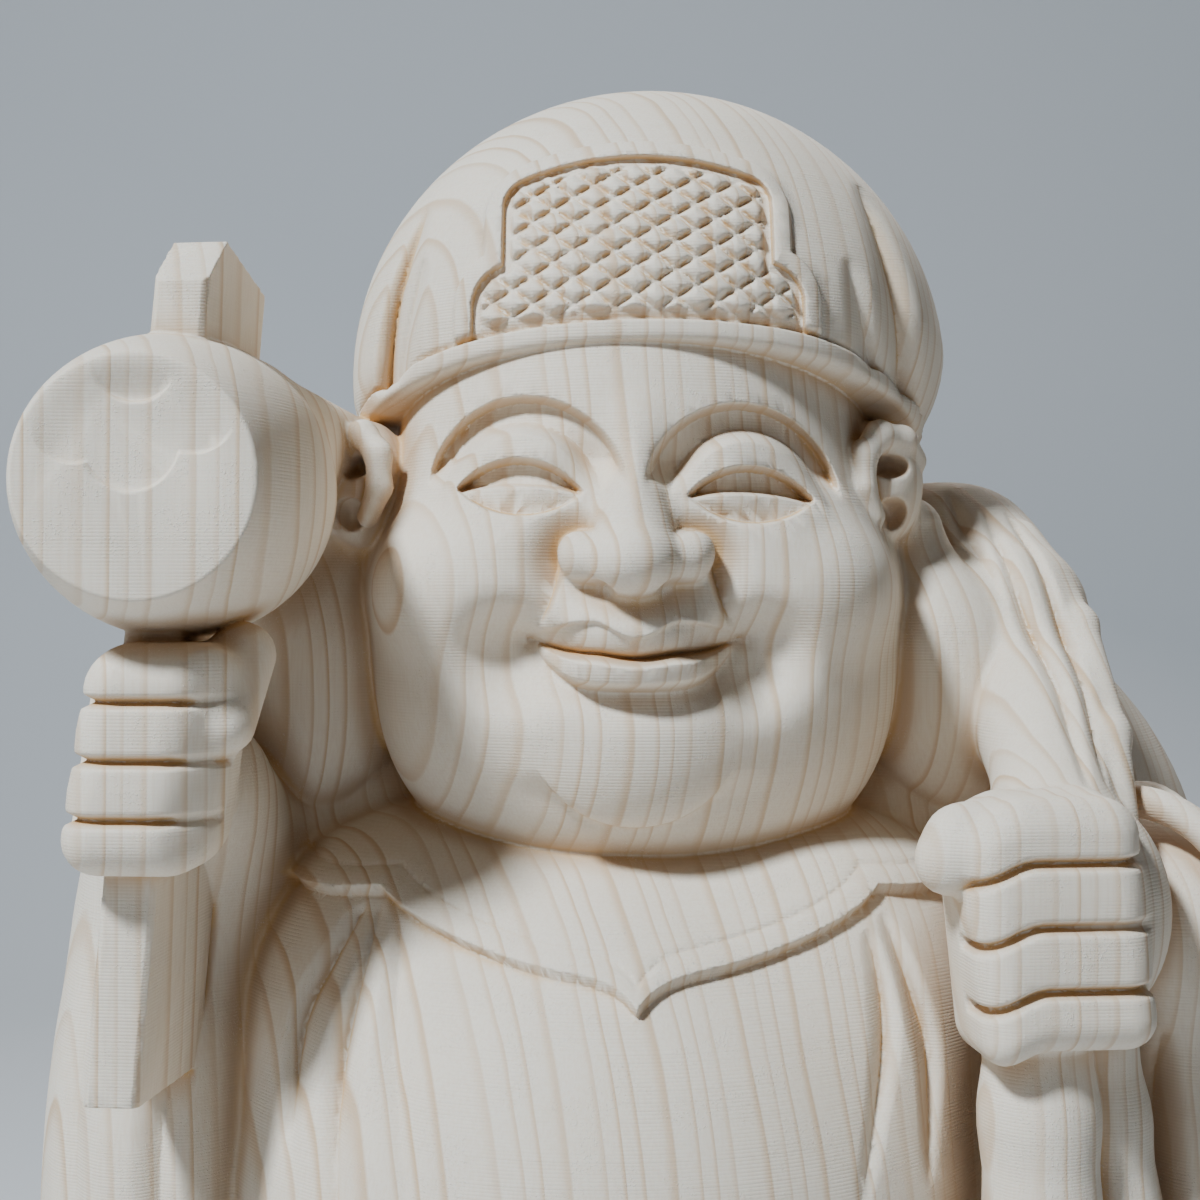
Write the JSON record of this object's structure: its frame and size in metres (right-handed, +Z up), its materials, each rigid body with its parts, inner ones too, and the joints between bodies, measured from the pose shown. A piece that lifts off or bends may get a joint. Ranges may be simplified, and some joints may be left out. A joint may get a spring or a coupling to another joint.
{
  "type": "daikoku figure",
  "caption": "Smiling standing figure in a soft cap, with a mallet in the right hand and a sack over the left shoulder, carved from a block of pale wood on rice bales and a low plinth.",
  "frame": {"origin": "the middle of the flat underside of the plinth", "axes": "+Z up through the cap, +X to the viewer's right of the figure, and the figure faces -Y"},
  "size_m": [0.1986, 0.1623, 0.4153],
  "materials": {
    "cypress_wood": "bare, as milled and carved"
  },
  "bodies": {
    "root": {"figure": "cypress_wood"}
  },
  "joints": []
}
